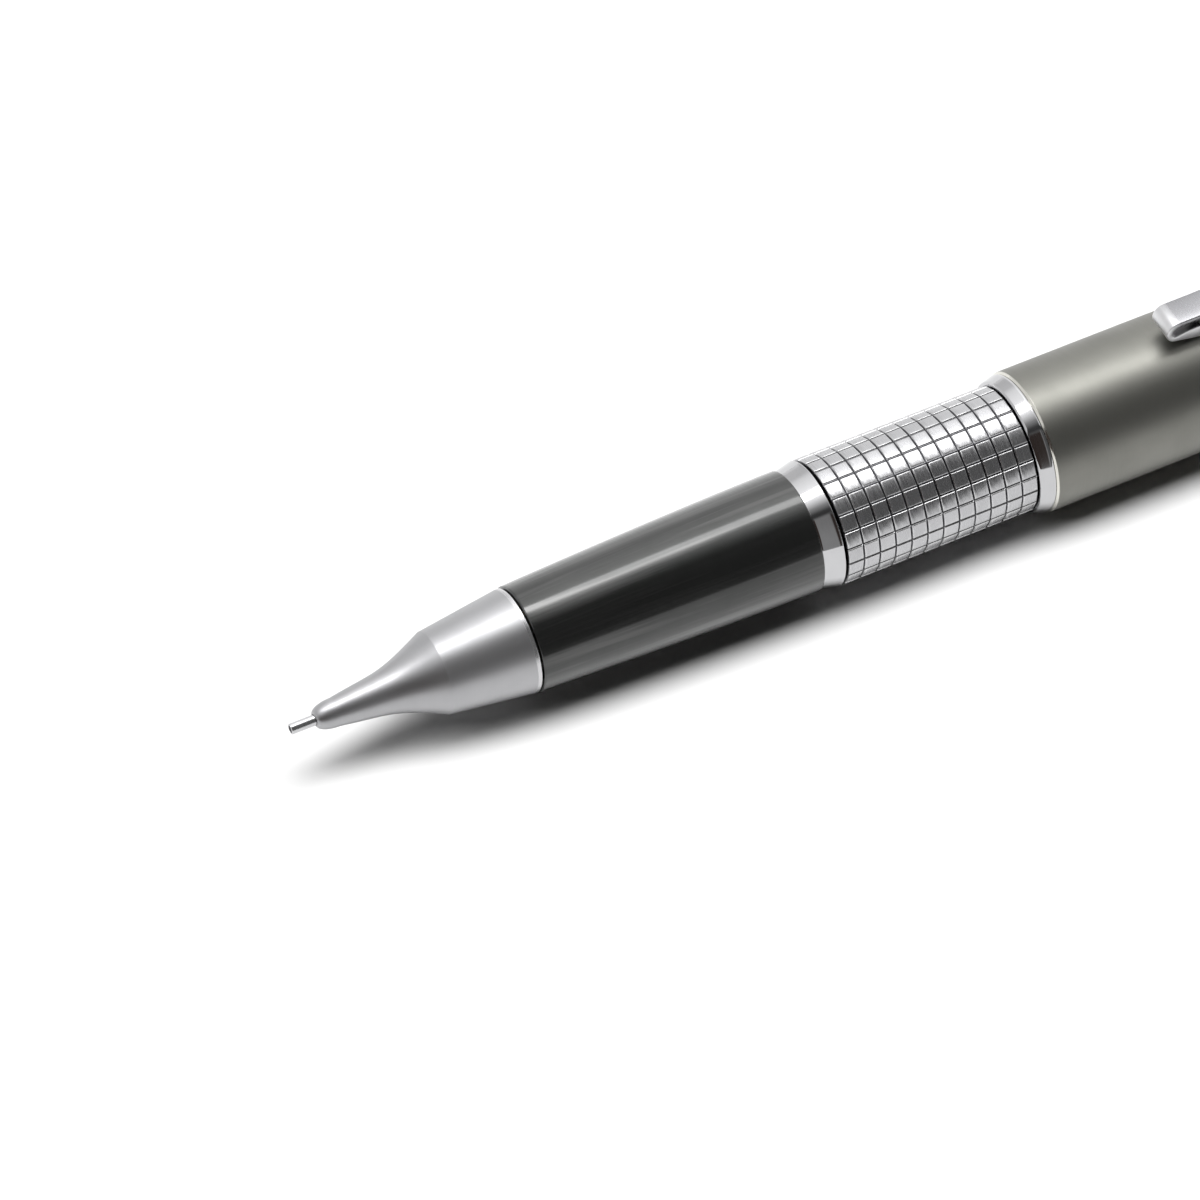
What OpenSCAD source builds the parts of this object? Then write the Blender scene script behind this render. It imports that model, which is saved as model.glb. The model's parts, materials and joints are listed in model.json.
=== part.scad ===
// Capped pocket mechanical pencil for 0.5 mm lead, with its cap pushed onto the rear.
// The pencil lies along X: the tip is at -X, the cap's push knob at +X, and the clip is on top (+Z).
// Every part is drawn on its own axis, where z is the distance from the tip, and lay() lays it down.

/* [Whole pencil] */
// Length with the cap pushed onto the rear
posted_len = 140; // [139.6:0.2:142]
// Outer radius of the cap
cap_r = 6; // [5.95:0.05:6.1]
// How far the knob and the inner mechanism travel
press_travel = 3; // [2:0.5:3]

/* [Lead and sleeve] */
// Radius of a 0.5 mm lead, which really measures 0.56 mm across
lead_r = 0.28; // [0.27:0.01:0.28]
// Length of a new lead
lead_len = 60; // [50:1:60]
// Outer radius of the sliding steel sleeve
sleeve_r = 0.45; // [0.4:0.05:0.45]
// Bare sleeve in front of the nose
sleeve_out = 2.1; // [1.8:0.1:2.3]
// Leads waiting in the reservoir
spare_count = 3; // [1:1:4]

/* [Nose and grip] */
// Where the nose meets the grip
grip_front = 20; // [19.8:0.1:20.2]
// Radius there
grip_front_r = 4.45; // [4.4:0.05:4.5]
// Where the grip meets the front ring
grip_rear = 44.6; // [44.5:0.1:44.7]
// Radius there
grip_rear_r = 5.14; // [5.1:0.02:5.16]

/* [Knurled band] */
// Front end of the band
band_front = 46.6; // [46.5:0.1:46.7]
// Rear end of the band
band_rear = 63.75; // [63.6:0.05:63.8]
// Radius over the raised squares
band_r = 5.35; // [5.3:0.05:5.4]
// Raised squares along the band
cells_long = 12; // [10:1:14]
// Raised squares round the band
cells_round = 23; // [18:1:28]
// Depth of the grooves between them
groove_depth = 0.17; // [0.12:0.01:0.3]
// Share of each square's pitch that its raised face takes
cell_share = 0.84; // [0.7:0.02:0.9]

/* [Cap] */
// Mouth of the cap, where it meets the rear ring
cap_mouth = 65.1; // [65.1:0.1:65.3]
// Where the cap starts to narrow, just in front of the clip
cap_taper_start = 77.5; // [77.3:0.1:77.7]
// Radius of the cap where it meets its crown
cap_end_r = 5.6; // [5.55:0.05:5.7]
// Wall of the cap tube
cap_wall = 0.5; // [0.45:0.05:0.5]

/* [Clip] */
// Free end of the clip
clip_tip = 77.9; // [77.7:0.1:79]
// Height of the clip's upper face above the pencil's axis
clip_top = 8.6; // [8.5:0.1:9]
// Thickness of the clip's sheet
clip_sheet = 0.5; // [0.45:0.05:0.5]
// Width of the clip at its free end
clip_tip_w = 2.5; // [2.2:0.1:3]
// Width of the clip at its root
clip_root_w = 4; // [3.6:0.1:4]

/* [Hidden] */
$fn = 64;

tip_x = -posted_len / 2;      // the tip, so that the pencil is centred on its length
axis_z = cap_r;               // the cap rests on z = 0
fit = 0.04;                   // radial play of a sliding fit
seat = 0.03;                  // radial gap of a fixed fit
liner_gap = 0.06;             // radial gap round the cap's liner, where its glue would be

// nose
nose_front = sleeve_out;      // front face of the nose
nose_front_r = 0.52;
neck_front = 3.9;             // end of the rounded front of the nose
neck_front_r = 1.19;
crease = 12.55;               // where the curved neck meets the straight cone
crease_r = 3.47;

// rings
ring_rear = 46.4;             // rear face of the front ring
rear_ring_r = 5.92;
body_end = 85;                // rear end of the barrel without its push button
button_head = 89;             // front face of the push button's head
button_end = 93.7;            // rear face of the push button

// mechanism, from the tip to the rear
carrier_front = 8.2;
carrier_rear = 10.8;
bush_front = 13.2;
ring_stop = 17.4;             // step that stops the clutch ring
chuck_front = 17.4;
ring_front = 18.2;
ring_back = 21.4;
seat_front = 21.9;
seat_rear = 22.3;
joint_front = 25.5;
joint_shoulder = 28.2;
joint_rear = 33;
chuck_rear = 27.8;
reservoir_front = 30.5;
reservoir_rear = 88.1;
jaw_r = 1.75;                 // largest radius of the chuck's jaws
stem_r = 1.15;                // radius of the chuck's stem
jaw_slope = 0.155;            // how fast the jaws narrow towards the stem

// cap
liner_step = 92.2;            // where the cap's liner becomes the guide of the pusher
liner_rear = 112;
pusher_front = button_end + 0.2;
pusher_bottom = 110;          // bottom of the pusher's hollow
anchor_front = 119;
anchor_rear = 127;
crown_front = 131;
knob_flange = 133;
clip_root = 123;              // centre line of the clip's tab

// ---------- helpers ----------

// Lays a part that was drawn upright at its place in the finished pencil.
module lay() {
    translate([tip_x, 0, axis_z]) rotate([180, 0, 0]) rotate([0, 90, 0]) children();
}

// A turned part: points are [radius, distance from the tip].
module turned(points) {
    rotate_extrude($fn = 96) polygon(points);
}

// A plain ring or tube.
module ring(front, rear, inner, outer) {
    turned([[inner, front], [outer, front], [outer, rear], [inner, rear]]);
}

// A rod with small chamfers at both ends.
module rod(front, rear, radius, chamfer) {
    turned([
        [0, front], [radius - chamfer, front], [radius, front + chamfer],
        [radius, rear - chamfer], [radius - chamfer, rear], [0, rear]
    ]);
}

// A helical spring as one swept wire, with a small number of sides.
module coil(front, rear, radius, wire_r, turns) {
    sides = 6;
    steps = 14;
    count = turns * steps;
    rise = rear - front - 2 * wire_r;
    points = [
        for (i = [0 : count], s = [0 : sides - 1])
            let (turn = 360 * i / steps, side = 360 * s / sides, reach = radius + wire_r * cos(side))
            [reach * cos(turn), reach * sin(turn), front + wire_r + rise * i / count + wire_r * sin(side)]
    ];
    skin = [
        for (i = [0 : count - 1], s = [0 : sides - 1])
            let (a = i * sides + s, b = i * sides + (s + 1) % sides)
            [a, b, b + sides, a + sides]
    ];
    first = [for (s = [sides - 1 : -1 : 0]) s];
    last = [for (s = [0 : sides - 1]) count * sides + s];
    polyhedron(points, concat([first], skin, [last]), convexity = 4);
}

// Cubic curve through two ends and two handles.
function bezier(a, b, c, d, t) =
    pow(1 - t, 3) * a + 3 * pow(1 - t, 2) * t * b + 3 * (1 - t) * t * t * c + pow(t, 3) * d;

// Points of an arc, from angle a0 to a1.
function arc(centre, radius, a0, a1, n) =
    [for (i = [0 : n]) let (a = a0 + (a1 - a0) * i / n) centre + radius * [cos(a), sin(a)]];

// Radius of the cap at a distance from the tip.
function cap_radius(z) =
    z < cap_taper_start ? cap_r
        : cap_r - (cap_r - cap_end_r) * (z - cap_taper_start) / (crown_front - cap_taper_start);

// Radius of the grip at a distance from the tip: a gentle swell.
function grip_radius(z) =
    grip_front_r + (grip_rear_r - grip_front_r)
        * (1 - pow(max(0, 1 - (z - grip_front) / (grip_rear - grip_front)), 1.5));

// ---------- barrel ----------

module nose_cone() {
    front_round = [
        for (i = [0 : 6]) let (a = 15 * i)
        [nose_front_r + (neck_front_r - nose_front_r) * sin(a),
         nose_front + (neck_front - nose_front) * (1 - cos(a))]
    ];
    neck = [
        for (i = [1 : 12])
        bezier([neck_front_r, neck_front], [1.85, 8], [1.4, 8], [crease_r, crease], i / 12)
    ];
    edge = [[grip_front_r - 0.06, grip_front - 0.15], [grip_front_r - 0.2, grip_front]];
    bore = [
        [3.35, grip_front], [3.35, 14.6], [2.6, 14.6], [2.6, 13], [1.3, 13], [1.3, 7.9],
        [sleeve_r + fit, 7.9], [sleeve_r + fit, nose_front]
    ];
    color("#c9cacb") lay() turned(concat(front_round, neck, edge, bore));
}

module grip_section() {
    outside = [
        for (i = [0 : 12]) let (z = grip_front + (grip_rear - grip_front) * i / 12) [grip_radius(z), z]
    ];
    color("#3b3b3a") lay() turned(concat([[3.9, grip_front]], outside, [[3.9, grip_rear]]));
}

module front_ring() {
    color("#e3e4e6") lay() turned([
        [3.9, grip_rear], [4.95, grip_rear], [5.02, grip_rear + 0.1],
        [5.3, ring_rear - 0.35], [5.37, ring_rear - 0.15], [5.25, ring_rear], [3.9, ring_rear]
    ]);
}

// Threaded tube that joins the nose, the grip and the rear barrel. Its threads are drawn as fine rings.
module section_liner() {
    thread_front = 15.15;
    thread_pitch = 0.5;
    thread = [
        for (i = [0 : 7]) let (z = thread_front + 0.2 + thread_pitch * i)
        each [[3.12, z], [3.3, z + 0.15], [3.3, z + 0.3], [3.12, z + 0.45]]
    ];
    rear_thread = [
        for (i = [0 : 9]) let (z = 53 + thread_pitch * i)
        each [[3.12, z], [3.3, z + 0.15], [3.3, z + 0.3], [3.12, z + 0.45]]
    ];
    color("#c2a25a") lay() turned(concat(
        [[2.7, thread_front], [3.12, thread_front]], thread,
        [[3.3, grip_front - 0.2], [3.3, grip_front + 0.1], [3.86, grip_front + 0.1], [3.86, ring_rear],
         [3.3, ring_rear], [3.3, 52.8]],
        rear_thread, [[3.12, 58.4], [2.9, 58.6], [2.7, 58.6]]
    ));
}

// A toothed outline gives the lengthwise grooves, and the turned outline that it is cut with the ring grooves.
module knurled_band() {
    pitch = (band_rear - band_front) / cells_long;
    step = 360 / cells_round;
    crest = cell_share / 2;
    groove = 0.5 - crest;
    ring_bottom = band_r - groove_depth - 0.03;   // the turned grooves are a little deeper
    outline = [
        for (i = [0 : cells_round - 1])
        each [
            (band_r - groove_depth) * [cos(step * (i - 0.5)), sin(step * (i - 0.5))],
            (band_r + 0.05) * [cos(step * (i - crest)), sin(step * (i - crest))],
            (band_r + 0.05) * [cos(step * (i + crest)), sin(step * (i + crest))]
        ]
    ];
    rings = [
        for (i = [0 : cells_long - 1]) let (z = band_front + pitch * i)
        each [
            [ring_bottom, z], [band_r, z + groove * pitch], [band_r, z + (1 - groove) * pitch]
        ]
    ];
    color("#dfe0e2") lay() intersection() {
        translate([0, 0, band_front]) linear_extrude(band_rear - band_front) polygon(outline);
        turned(concat(
            [[4.3, band_front]], rings, [[ring_bottom, band_rear], [4.3, band_rear]]
        ));
    }
}

module rear_ring() {
    color("#e3e4e6") lay() turned([
        [4.3, band_rear + 0.05], [5.5, band_rear + 0.05], [5.62, band_rear + 0.2],
        [5.86, cap_mouth - 0.3], [rear_ring_r, cap_mouth - 0.12], [rear_ring_r - 0.1, cap_mouth],
        [4.3, cap_mouth]
    ]);
}

module rear_barrel() {
    color("#83827b") lay() turned([
        [3.34, 47], [4.0, 47], [4.26, 47.26], [4.26, cap_mouth], [5.12, cap_mouth], [5.12, 79.5],
        [4.86, body_end - 1.4], [4.1, body_end - 1.4], [4.1, 62.5], [3.34, 61.5]
    ]);
}

module barrel_end_ring() {
    color("#e3e4e6") lay() turned([
        [4.0, body_end - 1.4], [4.82, body_end - 1.4], [4.82, body_end - 0.25],
        [4.6, body_end], [4.0, body_end]
    ]);
}

module clutch_bush() {
    color("#c2a25a") lay() turned([
        [1.95, bush_front], [2.57, bush_front], [2.57, 14.65], [3.3, 14.65], [3.3, 15.1], [2.57, 15.1],
        [2.57, 23.5], [2.3, 23.5], [2.3, ring_stop], [1.95, ring_stop]
    ]);
}

module spring_seat() {
    color("#c2a25a") lay() ring(seat_front, seat_rear, stem_r + 0.12, 2.3 - seat);
}

// ---------- sliding sleeve ----------

module sliding_sleeve() {
    color("#b9bbbd") lay() turned([
        [lead_r + seat, 0], [sleeve_r - 0.05, 0], [sleeve_r, 0.06],
        [sleeve_r, carrier_rear - 0.6], [lead_r + seat, carrier_rear - 0.6]
    ]);
}

module sleeve_carrier() {
    color("#2a2a2c") lay() turned([
        [sleeve_r + 0.01, carrier_front], [1.05, carrier_front], [1.22, carrier_front + 0.2],
        [1.22, carrier_rear], [0.95, carrier_rear], [0.95, carrier_rear - 0.6],
        [sleeve_r + 0.01, carrier_rear - 0.6]
    ]);
}

module lead_retainer() {
    color("#1d1d1e") lay() ring(carrier_rear - 0.6, carrier_rear, lead_r + 0.02, 0.94);
}

// ---------- lead line ----------

module lead() {
    color("#2b2b2e") lay() rod(0.1, 0.1 + lead_len, lead_r, 0.03);
}

module clutch_ring() {
    bore_front = jaw_r - jaw_slope * (ring_front - chuck_front - 0.6) + fit;
    bore_rear = jaw_r - jaw_slope * (ring_back - chuck_front - 0.6) + fit;
    color("#c2a25a") lay() turned([
        [bore_front, ring_front], [2.12, ring_front], [2.22, ring_front + 0.1],
        [2.22, ring_back - 0.1], [2.12, ring_back], [bore_rear, ring_back]
    ]);
}

// ---------- mechanism ----------

// Three-jaw collet: its jaws are split by thin slits.
module chuck() {
    jaw_end = chuck_front + 0.6 + (jaw_r - stem_r) / jaw_slope;
    color("#c2a25a") lay() difference() {
        turned([
            [lead_r + 0.02, chuck_front], [1.3, chuck_front], [jaw_r, chuck_front + 0.5],
            [jaw_r, chuck_front + 0.6], [stem_r, jaw_end], [stem_r, chuck_rear], [lead_r + 0.02, chuck_rear]
        ]);
        for (a = [0 : 120 : 240])
            rotate([0, 0, a]) translate([0, -0.07, chuck_front - 0.1]) cube([3, 0.14, 6.5]);
    }
}

module reservoir_joint() {
    color("#d9d6cc") lay() turned([
        [stem_r + seat, joint_front], [1.5, joint_front], [1.62, joint_front + 0.12],
        [1.62, joint_shoulder], [2.1, joint_shoulder], [2.1, joint_rear],
        [1.75 + seat, joint_rear], [1.75 + seat, reservoir_front], [1.35, reservoir_front],
        [1.35, chuck_rear], [stem_r + seat, chuck_rear]
    ]);
}

module lead_reservoir() {
    color("#d9d6cc") lay() ring(reservoir_front, reservoir_rear, 1.4, 1.75);
}

module spare_leads() {
    color("#2b2b2e") lay()
        for (i = [0 : spare_count - 1])
            rotate([0, 0, 30 + 90 * i]) translate([0.85, 0, 0]) rod(28, 88, lead_r, 0.03);
}

module eraser_holder() {
    color("#d9d6cc") lay() turned([
        [1.78, 84.5], [2.1, 84.5], [2.9, 85.3], [2.9, 90.2], [2.3, 90.2], [2.3, 88.6],
        [0.9, 88.6], [0.9, reservoir_rear + 0.1], [1.78, reservoir_rear + 0.1]
    ]);
}

module eraser() {
    color("#eceae4") lay() turned([
        [0, 88.7], [2.27, 88.7], [2.27, 92], [2.0, 92.3], [0, 92.3]
    ]);
}

module push_button() {
    color("#e3e4e6") lay() turned([
        [3.1, 81], [3.7, 81], [3.9, 81.2], [3.9, button_head], [4.45, button_head], [4.6, button_head + 0.15],
        [4.6, button_end - 0.2], [4.4, button_end], [0, button_end], [0, 92.6], [3.0, 92.6], [3.0, 90.4],
        [2.95, 86]
    ]);
}

module return_spring() {
    color("#9a9c9f") lay() coil(seat_rear + 0.02, joint_shoulder - 0.02, 1.95, 0.18, 5);
}

// ---------- cap ----------

module cap_tube() {
    inner = [[cap_radius(crown_front) - cap_wall, crown_front], [cap_r - cap_wall, cap_taper_start]];
    color("#8c8a80") lay() difference() {
        turned(concat(
            [[cap_r - cap_wall, cap_mouth], [cap_r - 0.18, cap_mouth], [cap_r, cap_mouth + 0.18],
             [cap_r, cap_taper_start], [cap_end_r, crown_front]],
            inner
        ));
        translate([4, -clip_root_w / 2 - 0.15, clip_root - clip_sheet / 2 - 0.15])
            cube([4, clip_root_w + 0.3, clip_sheet + 0.3]);
    }
}

module cap_liner() {
    front = cap_mouth + 0.5;
    outer = cap_r - cap_wall - liner_gap;
    outer_rear = cap_radius(liner_rear) - cap_wall - liner_gap;
    color("#5a5a58") lay() turned([
        [5.3, front], [outer, front], [outer, cap_taper_start], [outer_rear, liner_rear],
        [4.95, liner_rear], [4.95, liner_step + 0.2], [5.22, liner_step], [5.22, front + 0.4]
    ]);
}

// Ring inside the cap that holds the clip's tab.
module clip_anchor() {
    outer = cap_radius(anchor_rear) - cap_wall - seat;
    color("#b9bbbd") lay() difference() {
        ring(anchor_front, anchor_rear, 2.1, outer);
        translate([3.6, -clip_root_w / 2 - 0.15, clip_root - clip_sheet / 2 - 0.15])
            cube([4, clip_root_w + 0.3, clip_sheet + 0.3]);
    }
}

module cap_crown() {
    spigot = cap_end_r - cap_wall - seat;
    color("#e3e4e6") lay() turned(concat(
        [[4.1, anchor_rear], [spigot, anchor_rear], [spigot, crown_front], [cap_end_r, crown_front],
         [cap_end_r, crown_front + 2]],
        arc([cap_end_r - 1.2, crown_front + 2], 1.2, 15, 75, 4),
        [[cap_end_r - 1.5, crown_front + 3.2 + 0.6], [3.4, crown_front + 3.8], [3.4, crown_front + 3],
         [4.1, crown_front + 3]]
    ));
}

// The clip is one strip of sheet: a side view of even thickness, cut to its tapered plan.
module pocket_clip() {
    t = clip_sheet;
    top = clip_top - t / 2;   // centre line of the long top plate
    fold_r = 0.75;            // centre-line radius of the fold at the free end
    bend_r = 1.1;             // centre-line radius of the bend at the root
    fold = [clip_tip + t / 2 + fold_r, top - fold_r];
    tongue_r = 3.4;           // the folded-back tongue bulges down towards the cap
    tongue_low = cap_r + 0.06 + t / 2;
    tongue = [fold[0] + 2.6, tongue_low + tongue_r];
    centre_line = concat(
        [[clip_root, 4.3]],
        arc([clip_root - bend_r, top - bend_r], bend_r, 0, 90, 6),
        arc(fold, fold_r, 90, 255, 9),
        arc(tongue, tongue_r, 255, 305, 8)
    );
    n = len(centre_line);
    direction = [
        for (i = [0 : n - 1])
        let (d = centre_line[min(i + 1, n - 1)] - centre_line[max(i - 1, 0)]) d / norm(d)
    ];
    left = [for (i = [0 : n - 1]) centre_line[i] + t / 2 * [-direction[i][1], direction[i][0]]];
    right = [for (i = [n - 1 : -1 : 0]) centre_line[i] - t / 2 * [-direction[i][1], direction[i][0]]];
    plan = [
        [clip_tip - 1, clip_tip_w / 2], [clip_tip + 3, clip_tip_w / 2], [clip_root - 4, clip_root_w / 2],
        [clip_root + 1, clip_root_w / 2], [clip_root + 1, -clip_root_w / 2],
        [clip_root - 4, -clip_root_w / 2], [clip_tip + 3, -clip_tip_w / 2], [clip_tip - 1, -clip_tip_w / 2]
    ];
    color("#e3e4e6") translate([tip_x, 0, axis_z]) intersection() {
        rotate([90, 0, 0]) translate([0, 0, -5]) linear_extrude(10) polygon(concat(left, right));
        linear_extrude(20) polygon(plan);
    }
}

// ---------- push knob in the cap ----------

module cap_knob() {
    color("#e3e4e6") lay() turned([
        [0, knob_flange + 4.5], [1.93, knob_flange + 4.5], [1.93, knob_flange], [3.95, knob_flange],
        [3.95, knob_flange + 0.9], [3.3, knob_flange + 0.9], [3.3, posted_len - 0.8],
        [3.1, posted_len - 0.3], [2.6, posted_len], [0, posted_len]
    ]);
}

// Hollow pusher: its rim meets the inner push button, and its hollow takes the nose when the cap is closed.
module knob_pusher() {
    color("#5a5a58") lay() turned([
        [4.1, pusher_front], [4.85, pusher_front], [4.85, pusher_bottom + 1.2], [1.9, pusher_bottom + 1.8],
        [1.9, knob_flange + 4.4], [0, knob_flange + 4.4], [0, pusher_bottom], [4.1, pusher_bottom]
    ]);
}

module knob_spring() {
    color("#9a9c9f") lay() coil(anchor_rear + 0.05, knob_flange - 0.02, 2.9, 0.2, 5);
}

nose_cone();
grip_section();
front_ring();
section_liner();
knurled_band();
rear_ring();
rear_barrel();
barrel_end_ring();
clutch_bush();
spring_seat();
sliding_sleeve();
sleeve_carrier();
lead_retainer();
lead();
clutch_ring();
chuck();
reservoir_joint();
lead_reservoir();
spare_leads();
eraser_holder();
eraser();
push_button();
return_spring();
cap_tube();
cap_liner();
clip_anchor();
cap_crown();
pocket_clip();
cap_knob();
knob_pusher();
knob_spring();
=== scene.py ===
# %% [markdown]
# # A capped pocket pencil, from its bench drawings to a finished picture
#
# The pencil lies along X with its tip at -X and its clip on top. Its mechanism, sizes and joints come
# from the CAD frame, which is loaded first and never changed. This lesson makes the pieces that show, one
# at a time: turned metal parts, a knurled band, a folded clip. Then it gives each piece its finish, and
# sets up the light and the camera. All lengths that a person would write on a drawing are in millimetres,
# and MM turns them into metres.

# %% Load the frame
import json
import math

import bpy
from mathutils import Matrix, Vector


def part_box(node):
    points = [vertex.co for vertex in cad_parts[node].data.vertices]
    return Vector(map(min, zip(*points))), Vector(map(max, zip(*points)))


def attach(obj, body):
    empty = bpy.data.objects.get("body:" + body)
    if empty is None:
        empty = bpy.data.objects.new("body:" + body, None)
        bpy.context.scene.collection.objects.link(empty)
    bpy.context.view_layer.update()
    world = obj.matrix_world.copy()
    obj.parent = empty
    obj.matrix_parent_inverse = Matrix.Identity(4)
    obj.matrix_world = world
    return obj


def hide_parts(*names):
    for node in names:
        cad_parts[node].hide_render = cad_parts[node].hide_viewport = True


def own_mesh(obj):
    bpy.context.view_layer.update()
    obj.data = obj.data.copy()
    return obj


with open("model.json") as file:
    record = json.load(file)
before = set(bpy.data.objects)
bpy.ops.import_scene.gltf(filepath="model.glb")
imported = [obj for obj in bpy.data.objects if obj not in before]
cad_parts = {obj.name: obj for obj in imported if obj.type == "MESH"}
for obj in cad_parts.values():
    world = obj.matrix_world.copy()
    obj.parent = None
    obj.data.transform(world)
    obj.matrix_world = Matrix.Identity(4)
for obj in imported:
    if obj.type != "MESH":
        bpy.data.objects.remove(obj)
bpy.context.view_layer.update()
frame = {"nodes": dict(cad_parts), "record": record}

MM = 0.001
tip_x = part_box("sliding_sleeve")[0].x
axis_z = (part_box("cap_tube")[0].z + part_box("cap_tube")[1].z) / 2
print("tip at", round(tip_x, 4), "axis at", round(axis_z, 4), "nodes", len(frame["nodes"]))


# %% [markdown]
# ## Reading sizes from the frame
#
# Each CAD node's box says where that piece starts and ends along the pencil, and how big it is across.
# The helpers below give those in millimetres from the tip, so that no place has to be written twice.

# %% Stations along the pencil
def front_of(node):
    return (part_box(node)[0].x - tip_x) / MM


def rear_of(node):
    return (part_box(node)[1].x - tip_x) / MM


def radius_of(node):
    low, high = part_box(node)
    return (high.y - low.y) / 2 / MM


cap_mouth = front_of("cap_tube")
cap_radius = radius_of("cap_tube")
print("cap mouth", round(cap_mouth, 2), "cap radius", round(cap_radius, 2))


# %% [markdown]
# ## Turning on a lathe, with extrude and scale
#
# Nearly every piece of a pencil is turned, so one helper makes them all. It could be done with Spin or a
# Screw modifier, but those start from a loose outline. Here a circle is added where the outline starts.
# It is then extruded along the pencil and scaled to the next radius, again and again, as one does by
# hand. A tube's outline ends where it began, so its last ring is merged with its first. A solid piece has
# its two open ends filled.

# %% Helpers for modelling by hand
def nothing_selected():
    if bpy.context.object and bpy.context.object.mode != "OBJECT":
        bpy.ops.object.mode_set(mode="OBJECT")
    bpy.ops.object.select_all(action="DESELECT")


def edit_all():
    bpy.ops.object.mode_set(mode="EDIT")
    bpy.ops.mesh.select_all(action="SELECT")


def close_and_shade(piece, crease_deg=35):
    edit_all()
    bpy.ops.mesh.remove_doubles(threshold=0.002 * MM)
    bpy.ops.mesh.normals_make_consistent(inside=False)
    bpy.ops.object.mode_set(mode="OBJECT")
    bpy.ops.object.shade_smooth_by_angle(angle=math.radians(crease_deg))
    print(piece.name, len(piece.data.polygons), "faces")
    return piece


def turn(name, outline, sides=144):
    """Turns an outline of (distance from the tip, radius) points, in millimetres."""
    nothing_selected()
    at, radius = outline[0]
    bpy.ops.mesh.primitive_circle_add(
        vertices=sides, radius=radius * MM, location=(tip_x + at * MM, 0, axis_z),
        rotation=(0, math.pi / 2, 0)
    )
    piece = bpy.context.object
    piece.name = piece.data.name = name
    bpy.ops.object.transform_apply(location=True, rotation=True, scale=True)
    edit_all()
    for next_at, next_radius in outline[1:]:
        bpy.ops.mesh.extrude_edges_move(TRANSFORM_OT_translate={"value": ((next_at - at) * MM, 0, 0)})
        grow = next_radius / radius
        bpy.ops.transform.resize(value=(1, grow, grow), center_override=(0, 0, axis_z))
        at, radius = next_at, next_radius
    if outline[0] != outline[-1]:
        bpy.ops.mesh.select_all(action="SELECT")
        bpy.ops.mesh.fill_holes(sides=0)
    bpy.ops.object.mode_set(mode="OBJECT")
    return close_and_shade(piece)


# %% [markdown]
# ## Rounded corners and holding rings
#
# A real turned edge is never perfectly sharp: the small round on it catches the light. `softened` puts an
# arc at each corner that asks for one. Next to an arc it also adds a holding ring on any long straight
# stretch, so that smooth shading stays flat there and doesn't bleed into the round.

# %% Soften an outline
def softened(points, closed=True, steps=4):
    """points are (distance, radius) or (distance, radius, size of the round). Returns the full outline."""
    corners = [(Vector((p[0], p[1])), p[2] if len(p) > 2 else 0) for p in points]
    count = len(corners)
    outline = []
    for i, (corner, size) in enumerate(corners):
        at_end = not closed and i in (0, count - 1)
        if size == 0 or at_end:
            outline.append(corner)
            continue
        back = corners[i - 1][0] - corner
        ahead = corners[(i + 1) % count][0] - corner
        reach = min(size, back.length * 0.45, ahead.length * 0.45)
        start = corner + back.normalized() * reach
        end = corner + ahead.normalized() * reach
        for k in range(steps + 1):
            t = k / steps
            outline.append(start * (1 - t) ** 2 + corner * (2 * t * (1 - t)) + end * t**2)
    held = []
    pairs = zip(outline, outline[1:] + outline[:1]) if closed else zip(outline, outline[1:])
    for a, b in pairs:
        held.append(a)
        long = (b - a).length
        if long > 0.6:
            step = (b - a).normalized() * min(0.12, long / 4)
            held += [a + step, b - step]
    if not closed:
        held.append(outline[-1])
    result = [(p.x, max(p.y, 0.001)) for p in held]
    return result + result[:1] if closed else result


# %% [markdown]
# ## The nose cone
#
# The nose is machined from one bar and blasted to a satin finish. Its front is rounded off round the
# steel sleeve. A slim neck swells in one sweeping curve to a crisp crease, and a plain cone leads on to
# the grip. The curve is a Bezier with two handles, as a designer would draw it, and the crease keeps a
# very small round.

# %% Turn the nose
def bezier(a, b, c, d, t):
    return a * (1 - t) ** 3 + b * (3 * t * (1 - t) ** 2) + c * (3 * t * t * (1 - t)) + d * t**3


sleeve_radius = radius_of("sliding_sleeve")
nose_front, nose_rear = front_of("nose_cone"), rear_of("nose_cone")
nose_rear_radius = radius_of("nose_cone")
nose_tip_radius, neck_front, neck_radius = 0.52, 3.9, 1.19
neck_handles = Vector((8, 1.85)), Vector((8, 1.4))
crease_at, crease_radius = 12.55, 3.47
nose_rim = 0.16
thread_bore, thread_depth = 3.35, 4
socket_bore, socket_depth = 2.6, 7
lead_bore, lead_bore_front = 1.3, 5.8
sleeve_hole = sleeve_radius + 0.04

round_front = [
    (nose_front + (neck_front - nose_front) * (1 - math.cos(a)),
     nose_tip_radius + (neck_radius - nose_tip_radius) * math.sin(a))
    for a in [math.radians(90 * i / 12) for i in range(13)]
]
# The last point of the round front takes a small round of its own, where the neck begins.
round_front[-1] += (0.08,)
neck_ends = Vector((neck_front, neck_radius)), Vector((crease_at, crease_radius))
neck = [
    tuple(bezier(neck_ends[0], *neck_handles, neck_ends[1], i / 30)) for i in range(1, 30)
]
nose_outline = softened(
    round_front + neck + [
        (crease_at, crease_radius, 0.05),
        (nose_rear - nose_rim, nose_rear_radius, 0.06),
        (nose_rear, nose_rear_radius - nose_rim, 0.04),
        (nose_rear, thread_bore),
        (nose_rear - thread_depth, thread_bore),
        (nose_rear - thread_depth, socket_bore),
        (nose_rear - socket_depth, socket_bore),
        (nose_rear - socket_depth, lead_bore),
        (nose_front + lead_bore_front, lead_bore),
        (nose_front + lead_bore_front, sleeve_hole),
        (nose_front, sleeve_hole),
    ]
)
nose = turn("nose_shell", nose_outline)


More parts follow.
